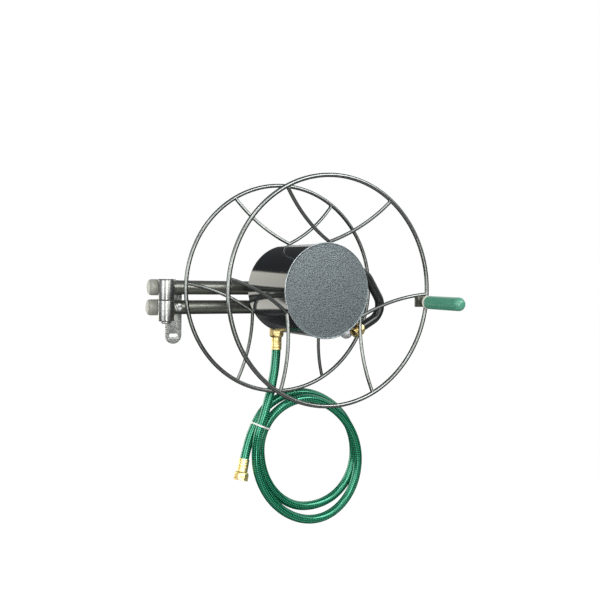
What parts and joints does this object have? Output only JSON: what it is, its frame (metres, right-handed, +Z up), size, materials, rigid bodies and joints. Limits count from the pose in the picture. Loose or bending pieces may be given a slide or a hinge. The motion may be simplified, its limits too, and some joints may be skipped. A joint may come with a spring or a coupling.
{
  "type": "wall-mounted hose reel",
  "caption": "Swing-out wall hose reel: closed drum between wire flanges, hollow water axle, hinged arm on a slotted wall rail, crank grip, bent outlet pipe and coiled leader hose.",
  "frame": {"origin": "on the wall face, in the middle of the four slots of the two wall plates", "axes": "+Y into the wall, +Z up, +X to the right for someone who faces the wall"},
  "size_m": [0.594, 0.4752, 0.8508],
  "materials": {
    "frame_enamel": "satin enamel",
    "cap_grey": "satin",
    "zinc": "zinc plated",
    "bush_plastic": "satin",
    "seal_rubber": "matte",
    "brass": "machined",
    "drum_enamel": "gloss enamel",
    "hammered_enamel": "hammered enamel",
    "wire_enamel": "gloss enamel",
    "grip_green": "satin",
    "hose_green": "satin",
    "tie_white": "satin"
  },
  "bodies": {
    "wall_frame": {"wall_rail": "frame_enamel", "rail_caps": "cap_grey", "wall_plate_left": "frame_enamel", "wall_plate_right": "frame_enamel", "plate_bolts": "zinc", "lower_barrel": "frame_enamel", "hinge_pin": "frame_enamel", "hinge_clip": "zinc", "thrust_washer": "bush_plastic"},
    "swing_arm": {"hinge_bushes": "bush_plastic", "upper_barrel": "frame_enamel", "swing_tube": "frame_enamel", "arm_caps": "cap_grey", "inlet_tee": "frame_enamel", "axle": "zinc", "axle_clip": "zinc", "inlet_pipe": "frame_enamel", "inlet_fitting": "brass", "leader_nut": "brass", "leader_ferrule": "brass", "leader_drop": "hose_green", "leader_coil": "hose_green", "leader_tail": "hose_green", "end_ferrule": "brass", "end_coupling": "brass", "hose_tie": "tie_white", "hose_washers": "seal_rubber"},
    "reel": {"drum_shell": "drum_enamel", "front_disc": "hammered_enamel", "rear_disc": "drum_enamel", "inner_disc": "drum_enamel", "hub_tube": "drum_enamel", "hub_bush_front": "bush_plastic", "hub_bush_rear": "bush_plastic", "water_collar": "brass", "collar_seals": "seal_rubber", "front_ring": "wire_enamel", "rear_ring": "wire_enamel", "front_spoke_top": "wire_enamel", "front_spoke_left": "wire_enamel", "front_spoke_right": "wire_enamel", "rear_spoke_top": "wire_enamel", "rear_spoke_left": "wire_enamel", "rear_spoke_right": "wire_enamel", "outlet_pipe": "drum_enamel", "outlet_fitting": "brass", "crank_bracket": "wire_enamel", "crank_rod": "zinc"},
    "crank_grip": {"grip_sleeve": "bush_plastic", "grip": "grip_green"}
  },
  "joints": [
    {"name": "arm_swing", "type": "hinge", "parent": "wall_frame", "child": "swing_arm", "pos_m": [-0.28, -0.0545, 0.0285], "axis": [0, 0, -1], "range_deg": [0, 95]},
    {"name": "reel_spin", "type": "hinge", "parent": "swing_arm", "child": "reel", "pos_m": [0.003, -0.2132, 0.0575], "axis": [0, 1, 0], "continuous": true},
    {"name": "grip_spin", "type": "hinge", "parent": "reel", "child": "crank_grip", "pos_m": [0.239, -0.4132, 0.0335], "axis": [0, 1, 0], "continuous": true}
  ]
}
